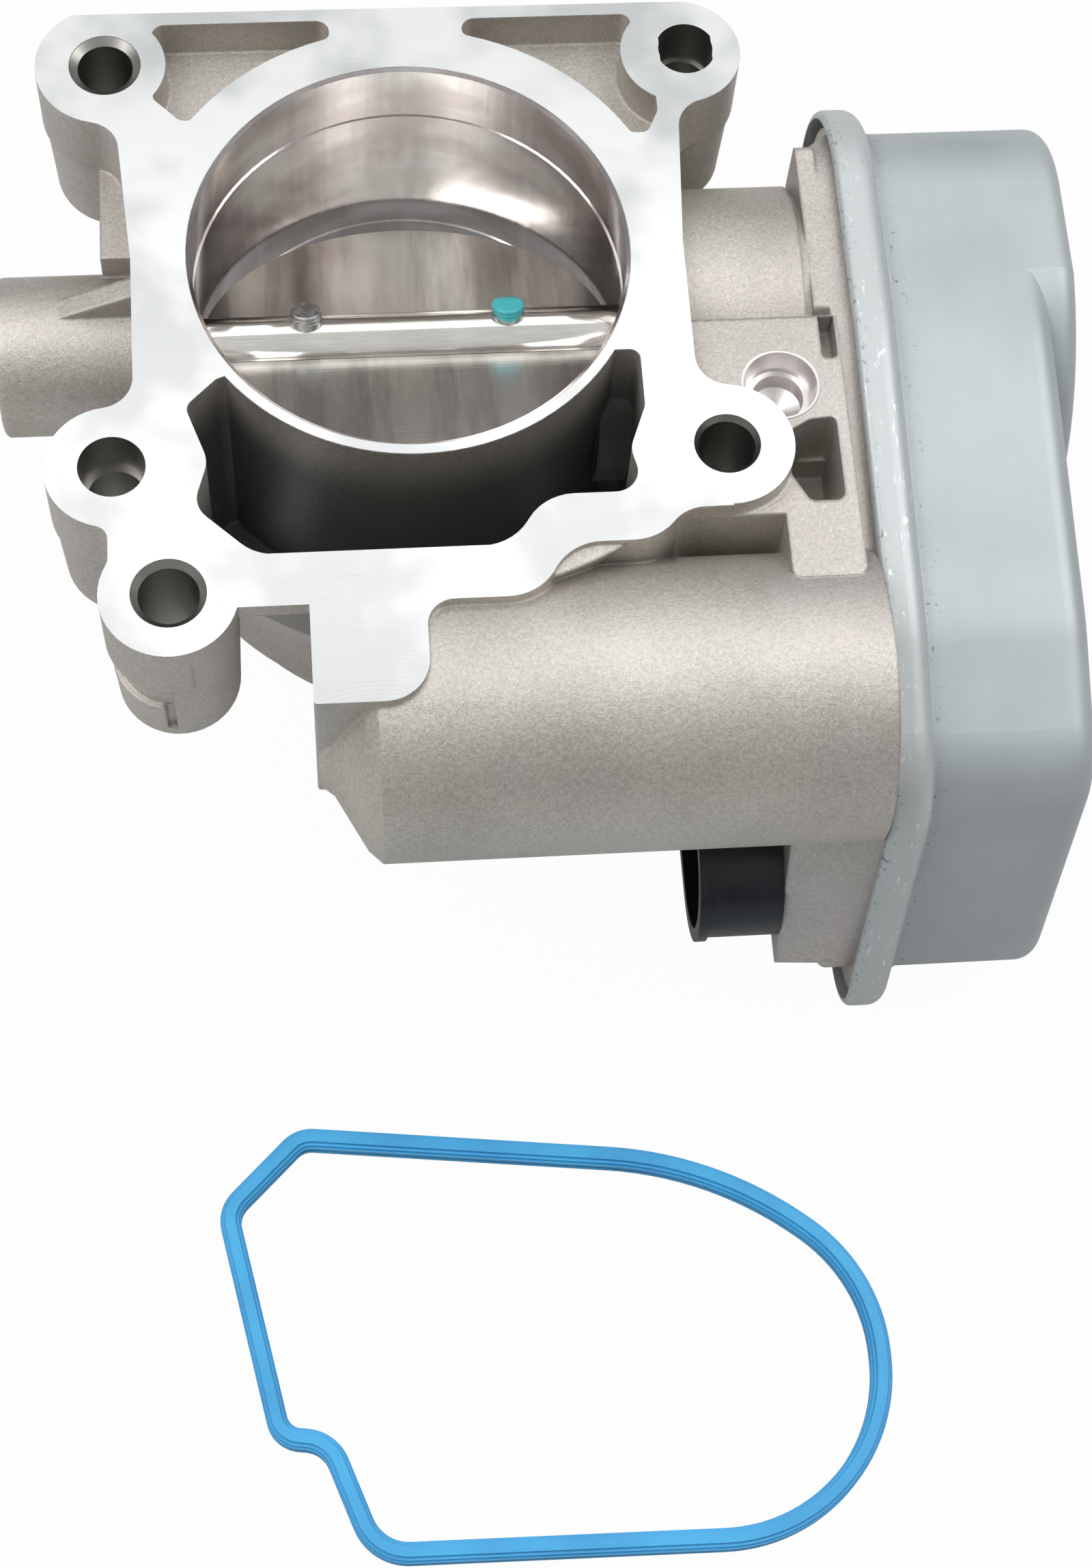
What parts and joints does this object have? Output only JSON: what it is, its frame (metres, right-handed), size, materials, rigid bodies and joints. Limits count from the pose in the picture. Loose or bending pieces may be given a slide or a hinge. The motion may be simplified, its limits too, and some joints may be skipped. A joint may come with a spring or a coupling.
{
  "type": "throttle body",
  "caption": "Motor-driven engine throttle body with a cast housing, bolted manifold face, tilted round plate on a cross shaft, side gear cover, oval plug socket and a loose blue face gasket.",
  "frame": {"origin": "centre of the throttle bore on the machined manifold face", "axes": "+Z out of the manifold face along the bore, +X along the throttle shaft towards the gear cover, +Y from the motor towards the shaft"},
  "size_m": [0.1651, 0.223, 0.088],
  "materials": {
    "cast_aluminium": "sand-cast body with a machined bright face and bore",
    "cover_metal": "drawn metal, pale blue-grey coat, worn on the bead",
    "black_rubber": "matt",
    "connector_plastic": "moulded, slightly satin",
    "brass": "tinned blades",
    "board": "circuit board",
    "bright_steel": "ground",
    "plate_metal": "satin, brushed",
    "screw_steel": "zinc plated",
    "spring_steel": "oiled",
    "gear_plastic": "moulded",
    "cap_plastic": "moulded",
    "magnet": "sintered",
    "can_steel": "zinc plated",
    "carbon": "pressed carbon",
    "copper": "enamelled wire",
    "pinion_steel": "machined",
    "blue_silicone": "moulded, satin"
  },
  "bodies": {
    "housing": {"throttle_housing": "cast_aluminium", "gear_cover": "cover_metal", "cover_seal": "black_rubber", "connector_shroud": "connector_plastic", "connector_terminals": "brass", "sensor_board": "board", "needle_bearing_cup": "bright_steel", "bearing_needles": "bright_steel", "shaft_seals": "black_rubber", "shaft_end_plug": "screw_steel", "ball_bearing_outer": "bright_steel", "bearing_balls": "bright_steel", "return_spring": "spring_steel", "transfer_pin": "bright_steel", "idler_pin": "bright_steel", "motor_can": "can_steel", "motor_magnets": "magnet", "motor_end_cap": "cap_plastic", "motor_brushes": "carbon", "motor_bushes": "brass", "motor_wave_spring": "spring_steel", "motor_plate": "can_steel", "motor_screws": "screw_steel"},
    "throttle": {"throttle_shaft": "bright_steel", "throttle_plate": "plate_metal", "plate_screws": "screw_steel", "ball_bearing_inner": "bright_steel", "sector_gear": "gear_plastic", "shaft_nut": "screw_steel", "sensor_rotor": "cap_plastic", "sensor_magnets": "magnet"},
    "transfer": {"transfer_gear": "gear_plastic"},
    "idler": {"idler_gear": "gear_plastic"},
    "motor_rotor": {"motor_shaft": "bright_steel", "rotor_core": "can_steel", "rotor_windings": "copper", "commutator": "copper", "motor_pinion": "pinion_steel"},
    "gasket": {"manifold_gasket": "blue_silicone"}
  },
  "joints": [
    {"name": "throttle_turn", "type": "hinge", "parent": "housing", "child": "throttle", "pos_m": [0, 0, -0.02646], "axis": [-1, 0, 0], "range_deg": [-20, 65], "stiffness_Nm_per_rad": 0.08},
    {"name": "transfer_turn", "type": "hinge", "parent": "housing", "child": "transfer", "pos_m": [0.073, -0.02464, -0.0617], "axis": [-1, 0, 0], "range_deg": [-112, 36]},
    {"name": "idler_turn", "type": "hinge", "parent": "housing", "child": "idler", "pos_m": [0.077, -0.04743, -0.05417], "axis": [-1, 0, 0], "range_deg": [-70, 222]},
    {"name": "motor_turn", "type": "hinge", "parent": "housing", "child": "motor_rotor", "pos_m": [0.025, -0.064, -0.0316], "axis": [-1, 0, 0], "range_deg": [-810, 252]},
    {"name": "gasket_lift", "type": "slide", "parent": "housing", "child": "gasket", "axis": [0, 0, 1], "range_m": [0, 0.05]}
  ],
  "couplings": [
    {"joint": "transfer_turn", "follows": "throttle_turn", "ratio": -1.6875},
    {"joint": "idler_turn", "follows": "throttle_turn", "ratio": 3.375},
    {"joint": "motor_turn", "follows": "throttle_turn", "ratio": -12.375}
  ]
}
